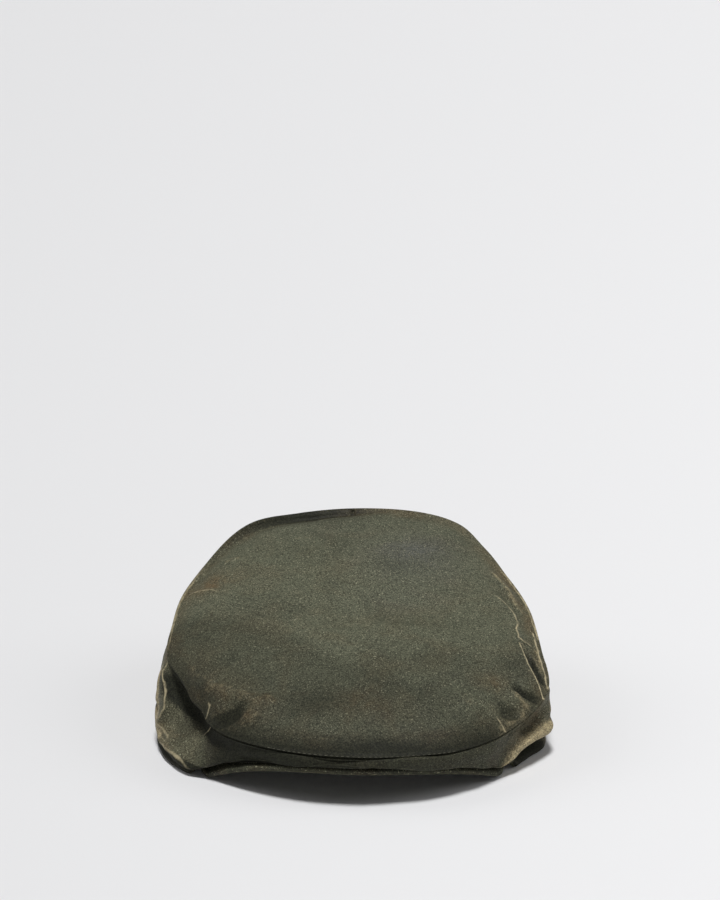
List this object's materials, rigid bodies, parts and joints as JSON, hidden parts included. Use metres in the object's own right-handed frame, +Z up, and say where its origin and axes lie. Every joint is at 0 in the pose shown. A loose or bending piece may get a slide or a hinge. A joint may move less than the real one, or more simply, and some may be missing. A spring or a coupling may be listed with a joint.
{
  "type": "flat cap",
  "caption": "Soft waxed cotton flat cap with a round sloping crown, side panels folded low over a stiff curved peak, and an open head hollow.",
  "frame": {"origin": "on the table under the cap, in the middle of its length and width", "axes": "+Z up from the table, -Y the way the peak points, +X to the right of someone who faces the peak"},
  "size_m": [0.2442, 0.2706, 0.1],
  "materials": {
    "waxed_cotton": "dark olive waxed cotton with a dull sheen, paler and browner along its worn folds",
    "peak_cotton": "the same waxed cotton drawn smooth over the stiff peak"
  },
  "bodies": {
    "root": {"top_panel": "waxed_cotton", "side_panel_left": "waxed_cotton", "side_panel_right": "waxed_cotton", "peak": "peak_cotton"}
  },
  "joints": []
}
